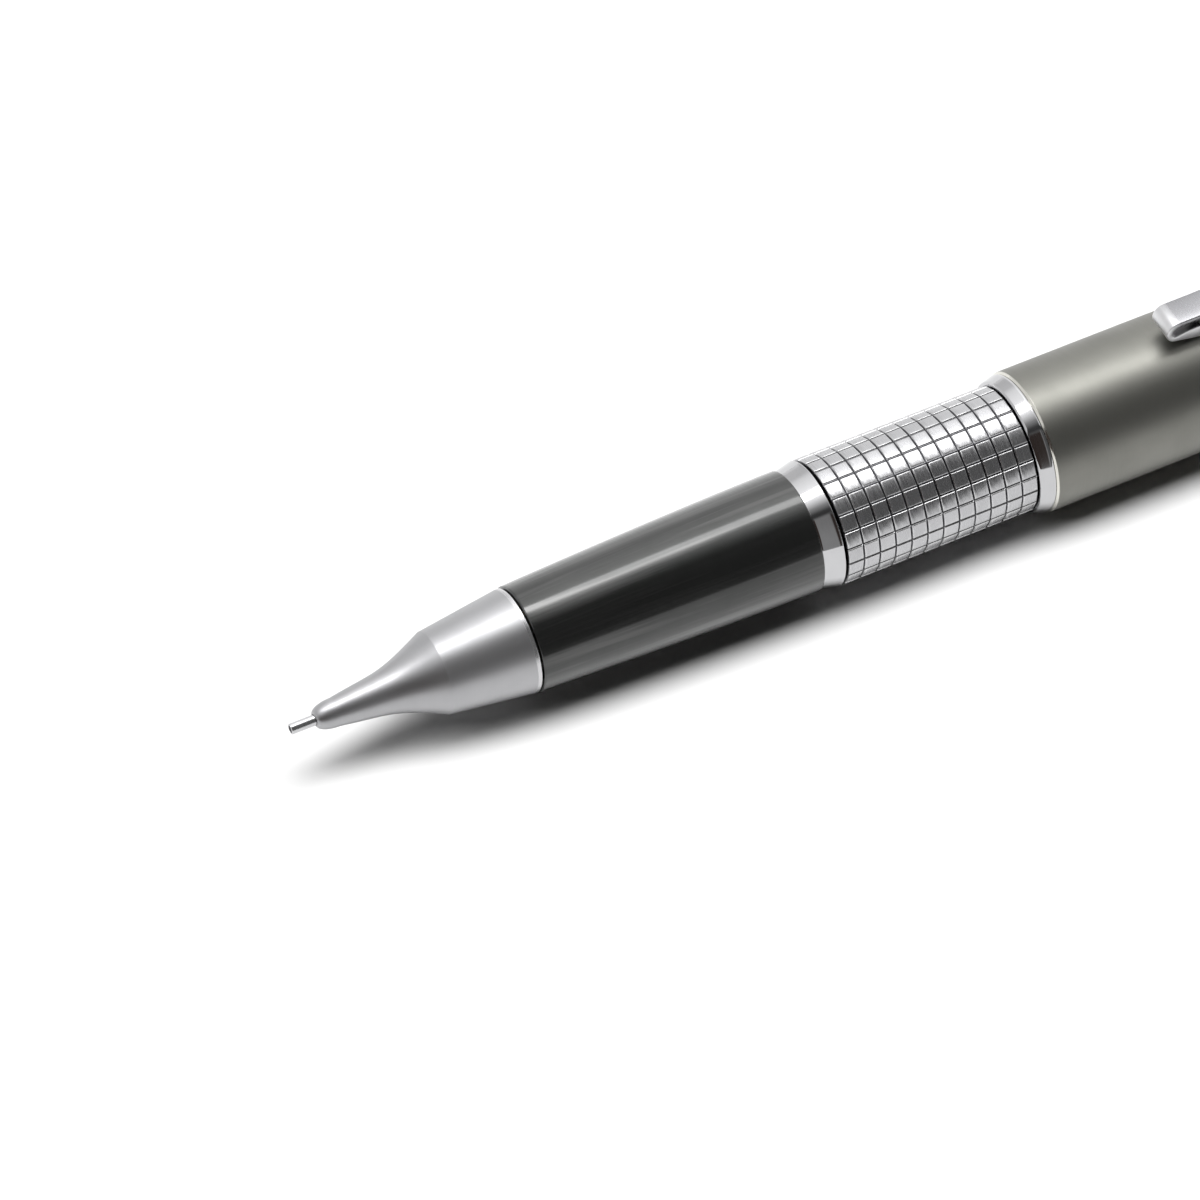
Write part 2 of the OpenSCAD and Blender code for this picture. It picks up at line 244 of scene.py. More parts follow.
# %% [markdown]
# ## The grip
#
# The grip is a brass tube under a deep metallic lacquer. It swells gently towards the rear, fast at first
# and then hardly at all, which one power curve describes. Both ends have a small round where the lacquer
# pulls back.

# %% Turn the grip
grip_front, grip_rear = front_of("grip_section"), rear_of("grip_section")
grip_front_radius, grip_rear_radius = 4.45, radius_of("grip_section")
grip_bore = 3.9
front_joint, rear_joint = 0.06, 0.02


def grip_radius(share):
    return grip_front_radius + (grip_rear_radius - grip_front_radius) * (1 - (1 - share) ** 1.5)


swell = [
    (grip_front + (grip_rear - grip_front) * i / 24, grip_radius(i / 24)) for i in range(1, 24)
]
grip = turn("grip_tube", softened(
    [(grip_front + front_joint, grip_bore), (grip_front + front_joint, grip_radius(0), 0.14)] + swell
    + [(grip_rear - rear_joint, grip_rear_radius, 0.1), (grip_rear - rear_joint, grip_bore)]
))


# %% [markdown]
# ## Two chrome rings
#
# A plain ring closes the grip, and a second one stands behind the knurled band. Both flare towards the
# rear, so each throws its own strip of reflections. They are turned like the nose, with tight rounds on
# their edges.

# %% Turn the rings
ring_front, ring_rear = front_of("front_ring"), rear_of("front_ring")
ring_front_radius, ring_radius = 4.97, radius_of("front_ring")
front_ring = turn("front_collar", softened([
    (ring_front, grip_bore), (ring_front, ring_front_radius, 0.05),
    (ring_rear - 0.3, ring_radius - 0.06, 0.12), (ring_rear - 0.1, ring_radius, 0.05),
    (ring_rear, ring_radius - 0.12, 0.04), (ring_rear, grip_bore),
]))

flare_front, flare_rear = front_of("rear_ring"), rear_of("rear_ring")
flare_front_radius, flare_radius = 5.52, radius_of("rear_ring")
liner_radius = 4.3
rear_ring = turn("rear_collar", softened([
    (flare_front, liner_radius), (flare_front, flare_front_radius, 0.05), (flare_front + 0.12, 5.62, 0.05),
    (flare_rear - 0.2, flare_radius - 0.03, 0.1), (flare_rear - 0.02, flare_radius - 0.08, 0.04),
    (flare_rear - 0.02, liner_radius),
]))


# %% [markdown]
# ## The knurled band
#
# The band is covered in small raised squares, twelve along it and twenty-three round it. One square is
# modelled with care: a plane is inset and lifted, its edges are bevelled, and its top is divided so that
# it can curve. Two Array modifiers lay out the flat sheet. A Bend modifier would then roll it up, but it
# rolls by the length of the object, and the band has to close exactly. So each vertex is rolled by its
# own angle instead, and the seam is merged. Last, both open ends are extruded inwards to give the band
# its thickness.

# %% Model one square and lay out the sheet
band_front, band_rear = front_of("knurled_band"), rear_of("knurled_band")
band_radius = radius_of("knurled_band")
squares_long, squares_round = 12, 23
groove_depth, groove_half = 0.17, 0.105
square_round, square_margin = 0.06, 0.16
pitch_long = (band_rear - band_front) / squares_long
pitch_round = 2 * math.pi * band_radius / squares_round

nothing_selected()
bpy.ops.mesh.primitive_plane_add(size=1)
band = bpy.context.object
band.name = band.data.name = "knurled_sleeve"
band.scale = (pitch_long * MM, pitch_round * MM, 1)
bpy.ops.object.transform_apply(location=True, rotation=True, scale=True)
edit_all()
bpy.ops.mesh.inset(thickness=groove_half * MM, depth=groove_depth * MM)
bpy.ops.mesh.bevel(offset=square_round * MM, segments=3, affect="EDGES")
bpy.ops.mesh.select_all(action="DESELECT")
bpy.ops.object.mode_set(mode="OBJECT")
largest = max(band.data.polygons, key=lambda face: face.area)
largest.select = True
bpy.ops.object.mode_set(mode="EDIT")
bpy.ops.mesh.inset(thickness=square_margin * MM, depth=0)
bpy.ops.mesh.subdivide(number_cuts=3)
bpy.ops.object.mode_set(mode="OBJECT")
print("one square:", len(band.data.polygons), "faces")

for count, direction in ((squares_long, (1, 0, 0)), (squares_round, (0, 1, 0))):
    array = band.modifiers.new("array", "ARRAY")
    array.count = count
    array.use_relative_offset = False
    array.use_constant_offset = True
    array.constant_offset_displace = (direction[0] * pitch_long * MM, direction[1] * pitch_round * MM, 0)
    array.use_merge_vertices = True
    array.merge_threshold = 0.002 * MM
    bpy.ops.object.modifier_apply(modifier=array.name)
print("flat sheet:", [round(side / MM, 2) for side in band.dimensions], "mm")

# %% Roll the sheet and close its ends
for vertex in band.data.vertices:
    along, across, height = vertex.co
    angle = across / (band_radius * MM)
    radius = (band_radius - groove_depth) * MM + height
    vertex.co = (
        tip_x + (band_front + pitch_long / 2) * MM + along,
        radius * math.sin(angle),
        axis_z + radius * math.cos(angle),
    )
edit_all()
bpy.ops.mesh.remove_doubles(threshold=0.004 * MM)
bpy.ops.mesh.select_all(action="DESELECT")
bpy.ops.mesh.select_non_manifold(extend=False)
bpy.ops.mesh.extrude_edges_move(TRANSFORM_OT_translate={"value": (0, 0, 0)})
shrink = liner_radius / (band_radius - groove_depth)
bpy.ops.transform.resize(value=(1, shrink, shrink), center_override=(0, 0, axis_z))
bpy.ops.mesh.bridge_edge_loops()
bpy.ops.object.mode_set(mode="OBJECT")
close_and_shade(band, 40)


# %% [markdown]
# ## The cap
#
# The cap is a deep-drawn aluminium tube. Its mouth is cut back with a diamond tool, and the thin bright
# lip there is a painted highlight. From just in front of the clip it narrows very slightly to its crown.
# The slot for the clip's tab is cut with a Boolean modifier, and a few extra rings round the slot keep the
# cut from disturbing the shading.

# %% Turn the cap and cut its slot
cap_rear = rear_of("cap_tube")
cap_taper = 77.5
cap_end_radius = radius_of("cap_crown")
cap_wall, cap_lip = 0.5, 0.17
sheet = 0.5
clip_root = rear_of("pocket_clip") - sheet / 2
slot_long, slot_wide, slot_deep = 0.8, 4.3, 3


def cap_radius_at(at):
    share = max(0.0, (at - cap_taper) / (cap_rear - cap_taper))
    return cap_radius - (cap_radius - cap_end_radius) * share


slot_rings = [
    (clip_root + offset, cap_radius_at(clip_root + offset)) for offset in (-1.2, -0.6, 0.6, 1.2)
]
cap = turn("cap_shell", softened(
    [(cap_mouth, cap_radius - cap_wall), (cap_mouth, cap_radius - cap_lip, 0.03),
     (cap_mouth + cap_lip, cap_radius, 0.03), (cap_taper, cap_radius)]
    + slot_rings
    + [(cap_rear, cap_end_radius, 0.05), (cap_rear, cap_end_radius - cap_wall),
       (cap_taper, cap_radius - cap_wall)]
), sides=192)

nothing_selected()
bpy.ops.mesh.primitive_cube_add(
    size=1, location=(tip_x + clip_root * MM, 0, axis_z + cap_radius * MM),
    scale=(slot_long * MM, slot_wide * MM, slot_deep * MM)
)
cutter = bpy.context.object
nothing_selected()
cap.select_set(True)
bpy.context.view_layer.objects.active = cap
cut = cap.modifiers.new("slot", "BOOLEAN")
cut.operation = "DIFFERENCE"
cut.solver = "EXACT"
cut.object = cutter
bpy.ops.object.modifier_apply(modifier=cut.name)
bpy.data.objects.remove(cutter)
bpy.ops.object.shade_smooth_by_angle(angle=math.radians(35))
print("cap with its slot:", len(cap.data.polygons), "faces")


# %% [markdown]
# ## The crown and the push knob
#
# A chrome crown closes the cap, with a generous round at its edge, and the push knob stands out through
# it. The knob is pressed by the thumb, so its end is nearly flat with a soft shoulder.

# %% Turn the crown and the knob
crown_front, crown_rear = cap_rear, rear_of("cap_crown")
plug_front, plug_radius = crown_front - 4, cap_end_radius - 0.53
crown_bore, knob_hole = 4.1, 3.4
lid_front = crown_rear - 0.8
crown = turn("crown_ring", softened([
    (plug_front, crown_bore), (plug_front, plug_radius), (crown_front, plug_radius),
    (crown_front + 0.02, cap_end_radius - 0.06, 0.03), (crown_front + 0.1, cap_end_radius, 0.05),
    (crown_rear, cap_end_radius, 1.7), (crown_rear, knob_hole, 0.12),
    (lid_front, knob_hole), (lid_front, crown_bore),
], steps=10))

knob_front, knob_rear = front_of("cap_knob"), rear_of("cap_knob")
knob_radius, flange_radius, pusher_hole = 3.3, 3.95, 1.94
flange_rear = knob_front + 0.9
knob = turn("push_knob", softened([
    (knob_front, pusher_hole), (knob_front, flange_radius, 0.1), (flange_rear, flange_radius, 0.1),
    (flange_rear, knob_radius), (knob_rear, knob_radius, 0.75), (knob_rear, 0.3),
], closed=False, steps=8))


# %% [markdown]
# ## The clip
#
# The clip is one strip of spring steel. It rises out of its slot, runs forward above the cap, folds over
# at its free end and comes back as a short tongue that bulges down onto the cap. A single edge across the
# strip is extruded along that path, and scaled as it goes, so that the strip narrows to its free end.
# Solidify then gives the sheet its thickness. The tongue is a fuller pad than the sheet alone would give,
# so its upper face is raised, vertex by vertex. Bevel takes the sharpness off the long edges.

# %% Draw the clip's path
clip_low, clip_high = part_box("pocket_clip")
clip_tip = front_of("pocket_clip")
top_line = (clip_high.z - axis_z) / MM - sheet / 2
fold_radius, bend_radius, tongue_radius = 0.75, 1.1, 3.4
overhang = 0.5
fold_at = clip_tip - overhang + sheet / 2 + fold_radius
tongue_gap, tongue_rise = 0.06, 0.78
tongue_at, tongue_height = fold_at + 2.6, cap_radius + tongue_gap + sheet / 2 + tongue_radius
clip_foot = 4.35
clip_tip_width, clip_root_width = 2.5, (clip_high.y - clip_low.y) / MM
plan_front, plan_rear = clip_tip + 3, clip_root - 4


def arc_points(at, height, radius, start_deg, end_deg, steps):
    return [
        (at + radius * math.cos(a), height + radius * math.sin(a))
        for a in [math.radians(start_deg + (end_deg - start_deg) * i / steps) for i in range(steps + 1)]
    ]


clip_path = (
    [(clip_root, clip_foot), (clip_root, top_line - bend_radius - 0.2)]
    + arc_points(clip_root - bend_radius, top_line - bend_radius, bend_radius, 0, 90, 10)
    + [(at, top_line) for at in (plan_rear, plan_rear - 0.4, plan_front + 0.4, plan_front)]
    + arc_points(fold_at, top_line - fold_radius, fold_radius, 90, 255, 16)
    + arc_points(tongue_at, tongue_height, tongue_radius, 255, 305, 10)
)


def clip_width(at):
    share = (at - plan_front) / (plan_rear - plan_front)
    return clip_tip_width + (clip_root_width - clip_tip_width) * min(1, max(0, share))


# %% Extrude the strip along the path
nothing_selected()
at, height = clip_path[0]
bpy.ops.mesh.primitive_plane_add(size=1, location=(tip_x + at * MM, 0, axis_z + height * MM))
clip = bpy.context.object
clip.name = clip.data.name = "clip_strip"
clip.scale = (0.1 * MM, clip_width(at) * MM, 1)
bpy.ops.object.transform_apply(location=True, rotation=True, scale=True)
edit_all()
bpy.ops.mesh.select_all(action="DESELECT")
bpy.ops.object.mode_set(mode="OBJECT")
middle = tip_x + at * MM
for vertex in clip.data.vertices:
    vertex.select = vertex.co.x > middle
bpy.ops.object.mode_set(mode="EDIT")
bpy.ops.mesh.delete(type="VERT")
bpy.ops.mesh.select_all(action="SELECT")
bpy.ops.transform.translate(value=(0.05 * MM, 0, 0))
for next_at, next_height in clip_path[1:]:
    step = ((next_at - at) * MM, 0, (next_height - height) * MM)
    bpy.ops.mesh.extrude_edges_move(TRANSFORM_OT_translate={"value": step})
    wider = clip_width(next_at) / clip_width(at)
    bpy.ops.transform.resize(value=(1, wider, 1), center_override=(0, 0, 0))
    at, height = next_at, next_height
bpy.ops.object.mode_set(mode="OBJECT")
print("clip path:", len(clip_path), "rows")

# %% Give the strip its thickness, the tongue its pad and the edges their softness
thick = clip.modifiers.new("sheet", "SOLIDIFY")
thick.thickness = sheet * MM
thick.offset = 0
thick.use_even_offset = True
bpy.ops.object.modifier_apply(modifier=thick.name)
tongue_centre = Vector((tongue_at, tongue_height))
for vertex in clip.data.vertices:
    spot = Vector(((vertex.co.x - tip_x) / MM, (vertex.co.z - axis_z) / MM))
    on_tongue = spot.y < top_line - fold_radius and spot.x > fold_at - 0.3
    if on_tongue and (spot - tongue_centre).length < tongue_radius - 0.1:
        share = min(1, (spot.x - fold_at + 0.3) / 0.9)
        vertex.co.z += tongue_rise * share * MM
soft = clip.modifiers.new("soft_edges", "BEVEL")
soft.width = 0.09 * MM
soft.segments = 3
soft.limit_method = "ANGLE"
soft.angle_limit = math.radians(50)
bpy.ops.object.modifier_apply(modifier=soft.name)
close_and_shade(clip, 40)


# %% [markdown]
# ## Parts that show when the cap comes off
#
# Under the cap are the rear barrel, its chrome end ring and the inner push button, and at the tip is the
# steel sleeve with the lead just inside it. The barrel, the ring, the button and the sleeve are turned in
# the same way, so that they look right at every pose.

# %% Turn the rear barrel
barrel_front, barrel_rear = front_of("rear_barrel"), rear_of("rear_barrel")
thread_radius, tail_radius, tail_end_radius = 4.26, 5.12, 4.86
tail_taper = 79.5
front_bore, rear_bore = 3.34, 4.1
bore_step_front, bore_step_rear = 61.5, 62.5
barrel = turn("barrel_tail", softened([
    (barrel_front, front_bore), (barrel_front, thread_radius, 0.26), (cap_mouth, thread_radius),
    (cap_mouth, tail_radius, 0.05), (tail_taper, tail_radius, 0.6), (barrel_rear, tail_end_radius, 0.05),
    (barrel_rear, rear_bore), (bore_step_rear, rear_bore), (bore_step_front, front_bore),
]))

# %% Turn the end ring and the inner button
end_front, end_rear = front_of("barrel_end_ring"), rear_of("barrel_end_ring")
end_bore, end_radius = 4.0, 4.82
end_ring = turn("tail_ring", softened([
    (end_front, end_bore), (end_front, end_radius, 0.05), (end_rear, end_radius, 0.24),
    (end_rear, end_bore, 0.05),
]))

button_front, button_rear = front_of("push_button"), rear_of("push_button")
button_head, stem_radius, head_radius = 89, 3.9, 4.6
lid_inside = button_rear - 1.1
button_bore = 3.0
button = turn("inner_button", softened([
    (button_front, 3.1), (button_front, stem_radius, 0.2), (button_head, stem_radius),
    (button_head, head_radius, 0.15), (button_rear, head_radius, 0.3), (button_rear, 0.1),
    (lid_inside, 0.1), (lid_inside, button_bore), (button_rear - 3.3, button_bore),
    (button_rear - 7.7, 2.95),
]))

# %% Turn the steel sleeve
sleeve_rear = rear_of("sliding_sleeve")
lead_hole = 0.31
sleeve = turn("sleeve_pipe", softened([
    (0, lead_hole, 0.03), (0, sleeve_radius, 0.06), (sleeve_rear, sleeve_radius), (sleeve_rear, lead_hole),
]), sides=64)


# %% [markdown]
# ## Two springs
#
# A coil spring is one wire that is swept round an axis, which is exactly what the Screw modifier does to
# a small circle. The return spring sits between its seat and the chuck, and the other spring lifts the
# push knob. Both have to shorten when the knob is pressed. Here they are wound as new pieces at their full
# length.

# %% Wind the springs
def wind_spring(name, front, rear, radius, wire, turns):
    nothing_selected()
    bpy.ops.mesh.primitive_circle_add(
        vertices=10, radius=wire * MM, location=(radius * MM, 0, 0), rotation=(math.pi / 2, 0, 0)
    )
    spring = bpy.context.object
    spring.name = spring.data.name = name
    bpy.ops.object.transform_apply(location=True, rotation=True, scale=True)
    winding = spring.modifiers.new("winding", "SCREW")
    winding.iterations = turns
    winding.screw_offset = (rear - front - 2 * wire) / turns * MM
    winding.steps = winding.render_steps = 28
    bpy.ops.object.modifier_apply(modifier=winding.name)
    edit_all()
    bpy.ops.mesh.fill_holes(sides=0)
    bpy.ops.object.mode_set(mode="OBJECT")
    spring.rotation_euler = (0, math.pi / 2, 0)
    spring.location = (tip_x + (front + wire) * MM, 0, axis_z)
    bpy.ops.object.transform_apply(location=True, rotation=True, scale=True)
    return close_and_shade(spring, 50)


seat_spring = wind_spring(
    "seat_spring", front_of("return_spring"), rear_of("return_spring"), radius=1.95, wire=0.18, turns=5
)
lift_spring = wind_spring(
    "lift_spring", front_of("knob_spring"), rear_of("knob_spring"), radius=2.9, wire=0.2, turns=5
)


# %% [markdown]
# ## What rides on what
#
# Each new piece rides on the CAD body that it belongs to, and stands for the CAD nodes that it hides. The
# slot names the finish in the part's record.

# %% Attach the pieces
rides = (
    (nose, "barrel", "satin_silver", "nose_cone"),
    (grip, "barrel", "gunmetal_lacquer", "grip_section"),
    (front_ring, "barrel", "bright_chrome", "front_ring"),
    (band, "barrel", "bright_chrome", "knurled_band"),
    (rear_ring, "barrel", "bright_chrome", "rear_ring"),
    (barrel, "barrel", "barrel_resin", "rear_barrel"),
    (end_ring, "barrel", "bright_chrome", "barrel_end_ring"),
    (sleeve, "sleeve", "steel", "sliding_sleeve"),
    (button, "mechanism", "bright_chrome", "push_button"),
    (cap, "cap", "anodised_cap", "cap_tube"),
    (crown, "cap", "bright_chrome", "cap_crown"),
    (knob, "knob", "bright_chrome", "cap_knob"),
    (clip, "clip", "bright_chrome", "pocket_clip"),
    (seat_spring, "mechanism", "steel", "return_spring"),
    (lift_spring, "knob", "steel", "knob_spring"),
)
for piece, body, slot_name, node in rides:
    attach(piece, body)
    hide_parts(node)
print(len(rides), "pieces ride")

# %% Give each spring a mesh of its own
for spring, joint in ((seat_spring, "mechanism_press"), (lift_spring, "knob_press")):
    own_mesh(spring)


# %% [markdown]
# ## Shared effects as node groups
#
# Three small effects come back in several finishes, so each is a node group. Lathe marks are fine rings:
# noise that is squeezed along the pencil and stretched round it. Handling is the faint, cloudy change of
# gloss that fingers leave. Edge light finds outer edges from how the surface bends.

# %% Helpers for nodes
def new_group(name, inputs, outputs):
    group = bpy.data.node_groups.new(name, "ShaderNodeTree")
    for label, default in inputs:
        socket = group.interface.new_socket(label, in_out="INPUT", socket_type="NodeSocketFloat")
        socket.default_value = default
    for label in outputs:
        group.interface.new_socket(label, in_out="OUTPUT", socket_type="NodeSocketFloat")
    return group, group.nodes.new("NodeGroupInput"), group.nodes.new("NodeGroupOutput")


def spread(nodes, links, value, low, high, out_low, out_high):
    node = nodes.new("ShaderNodeMapRange")
    node.inputs["From Min"].default_value = low
    node.inputs["From Max"].default_value = high
    node.inputs["To Min"].default_value = out_low
    node.inputs["To Max"].default_value = out_high
    links.new(value, node.inputs["Value"])
    return node.outputs["Result"]


# %% Lathe marks
def lathe_marks_group():
    group, given, result = new_group("lathe_marks", [("Fineness", 9000.0)], ["Rings"])
    nodes, links = group.nodes, group.links
    place = nodes.new("ShaderNodeTexCoord")
    split = nodes.new("ShaderNodeSeparateXYZ")
    links.new(place.outputs["Object"], split.inputs[0])
    along = nodes.new("ShaderNodeMath")
    along.operation = "MULTIPLY"
    links.new(split.outputs["X"], along.inputs[0])
    links.new(given.outputs["Fineness"], along.inputs[1])
    across = nodes.new("ShaderNodeVectorMath")
    across.operation = "MULTIPLY"
    across.inputs[1].default_value = (0, 60, 60)
    links.new(place.outputs["Object"], across.inputs[0])
    split_across = nodes.new("ShaderNodeSeparateXYZ")
    links.new(across.outputs[0], split_across.inputs[0])
    point = nodes.new("ShaderNodeCombineXYZ")
    links.new(along.outputs[0], point.inputs["X"])
    links.new(split_across.outputs["Y"], point.inputs["Y"])
    links.new(split_across.outputs["Z"], point.inputs["Z"])
    noise = nodes.new("ShaderNodeTexNoise")
    noise.inputs["Scale"].default_value = 1
    noise.inputs["Detail"].default_value = 3
    links.new(point.outputs[0], noise.inputs["Vector"])
    links.new(noise.outputs[0], result.inputs["Rings"])
    return group


# %% Handling
def handling_group():
    group, given, result = new_group("handling", [("Size", 260.0), ("Contrast", 1.0)], ["Smudge"])
    nodes, links = group.nodes, group.links
    place = nodes.new("ShaderNodeTexCoord")
    noise = nodes.new("ShaderNodeTexNoise")
    noise.inputs["Detail"].default_value = 5
    noise.inputs["Roughness"].default_value = 0.6
    links.new(place.outputs["Object"], noise.inputs["Vector"])
    links.new(given.outputs["Size"], noise.inputs["Scale"])
    cloud = spread(nodes, links, noise.outputs[0], 0.35, 0.7, 0, 1)
    scale = nodes.new("ShaderNodeMath")
    scale.operation = "MULTIPLY"
    links.new(cloud, scale.inputs[0])
    links.new(given.outputs["Contrast"], scale.inputs[1])
    links.new(scale.outputs[0], result.inputs["Smudge"])
    return group


# %% Edge light, and build all three
def edge_light_group():
    group, given, result = new_group("edge_light", [("Wear", 0.5)], ["Edge"])
    nodes, links = group.nodes, group.links
    shape = nodes.new("ShaderNodeNewGeometry")
    edge = spread(nodes, links, shape.outputs["Pointiness"], 0.52, 0.58, 0, 1)
    place = nodes.new("ShaderNodeTexCoord")
    noise = nodes.new("ShaderNodeTexNoise")
    noise.inputs["Scale"].default_value = 900
    links.new(place.outputs["Object"], noise.inputs["Vector"])
    patch = spread(nodes, links, noise.outputs[0], 0.3, 0.6, 0.3, 1)
    worn = nodes.new("ShaderNodeMath")
    worn.operation = "MULTIPLY"
    links.new(edge, worn.inputs[0])
    links.new(patch, worn.inputs[1])
    amount = nodes.new("ShaderNodeMath")
    amount.operation = "MULTIPLY"
    links.new(worn.outputs[0], amount.inputs[0])
    links.new(given.outputs["Wear"], amount.inputs[1])
    links.new(amount.outputs[0], result.inputs["Edge"])
    return group


lathe_marks, handling, edge_light = lathe_marks_group(), handling_group(), edge_light_group()
print("groups:", [group.name for group in bpy.data.node_groups])


# %% [markdown]
# ## One recipe for a finish
#
# Every finish is a Principled shader with the same few wires: a colour that varies a little and brightens
# on worn edges, a roughness that carries lathe marks and smudges, and a bump. The recipe takes the
# numbers that make one finish differ from another: three colours, for the clean surface, for smudges and
# for worn edges, then the roughness and what a smudge adds to it. Whatever is the same all over a piece
# is typed into the shader itself.

# %% The recipe
def add_group(nodes, group, **values):
    node = nodes.new("ShaderNodeGroup")
    node.node_tree = group
    for label, value in values.items():
        node.inputs[label].default_value = value
    return node


def mix_colour(nodes, links, share, first, second):
    """Mixes two colours, each a colour or an output of another node."""
    node = nodes.new("ShaderNodeMix")
    node.data_type = "RGBA"
    for value, socket in ((first, node.inputs[6]), (second, node.inputs[7])):
        if isinstance(value, tuple):
            socket.default_value = (*value, 1)
        else:
            links.new(value, socket)
    links.new(share, node.inputs[0])
    return node.outputs[2]


def finish(name, colour, deep, edge_colour, roughness, smudge, rings=0.02, fineness=9000.0, wear=0.5,
           bump=0.04, metallic=1.0, **constants):
    material = bpy.data.materials.new(name)
    material.use_nodes = True
    nodes, links = material.node_tree.nodes, material.node_tree.links
    shader = nodes["Principled BSDF"]
    shader.inputs["Metallic"].default_value = metallic
    for label, value in constants.items():
        shader.inputs[label.replace("_", " ")].default_value = value
    marks = add_group(nodes, lathe_marks, Fineness=fineness)
    touch = add_group(nodes, handling)
    edges = add_group(nodes, edge_light, Wear=wear)
    base = mix_colour(nodes, links, touch.outputs["Smudge"], colour, deep)
    base = mix_colour(nodes, links, edges.outputs["Edge"], base, edge_colour)
    links.new(base, shader.inputs["Base Color"])
    low, high = roughness - rings, roughness + rings
    ring_gloss = spread(nodes, links, marks.outputs["Rings"], 0.3, 0.7, low, high)
    cloud_gloss = spread(nodes, links, touch.outputs["Smudge"], 0, 1, 0, smudge)
    total = nodes.new("ShaderNodeMath")
    total.operation = "ADD"
    links.new(ring_gloss, total.inputs[0])
    links.new(cloud_gloss, total.inputs[1])
    links.new(total.outputs[0], shader.inputs["Roughness"])
    relief = nodes.new("ShaderNodeBump")
    relief.inputs["Strength"].default_value = bump
    relief.inputs["Distance"].default_value = 0.02 * MM
    links.new(marks.outputs["Rings"], relief.inputs["Height"])
    links.new(relief.outputs[0], shader.inputs["Normal"])
    return material


# %% Lay one finish over another through a mask
def overlay(material, mask, colour, roughness):
    """Where mask is 1, the piece takes this colour and this roughness."""
    nodes, links = material.node_tree.nodes, material.node_tree.links
    shader = nodes["Principled BSDF"]
    below = shader.inputs["Base Color"].links[0].from_socket
    links.new(mix_colour(nodes, links, mask, below, colour), shader.inputs["Base Color"])
    gloss = nodes.new("ShaderNodeMix")
    links.new(mask, gloss.inputs[0])
    links.new(shader.inputs["Roughness"].links[0].from_socket, gloss.inputs[2])
    gloss.inputs[3].default_value = roughness
    links.new(gloss.outputs[0], shader.inputs["Roughness"])


def place_nodes(material):
    """The place on the piece, along the pencil and out from its axis, in metres."""
    nodes, links = material.node_tree.nodes, material.node_tree.links
    place = nodes.new("ShaderNodeTexCoord")
    centred = nodes.new("ShaderNodeVectorMath")
    centred.operation = "SUBTRACT"
    centred.inputs[1].default_value = (tip_x, 0, axis_z)
    links.new(place.outputs["Object"], centred.inputs[0])
    split = nodes.new("ShaderNodeSeparateXYZ")
    links.new(centred.outputs[0], split.inputs[0])
    across = nodes.new("ShaderNodeCombineXYZ")
    links.new(split.outputs["Y"], across.inputs["Y"])
    links.new(split.outputs["Z"], across.inputs["Z"])
    distance = nodes.new("ShaderNodeVectorMath")
    distance.operation = "LENGTH"
    links.new(across.outputs[0], distance.inputs[0])
    return split.outputs["X"], distance.outputs["Value"]


# %% [markdown]
# ## The finishes
#
# Satin silver is blasted aluminium. Gunmetal is a dark metallic lacquer under a glassy coat. The chrome
# is almost a mirror, but the knurled band is duller, and the clip is satin steel. The cap is anodised a
# warm grey-green. Inside are brass, steel, moulded resins, rubber and graphite.

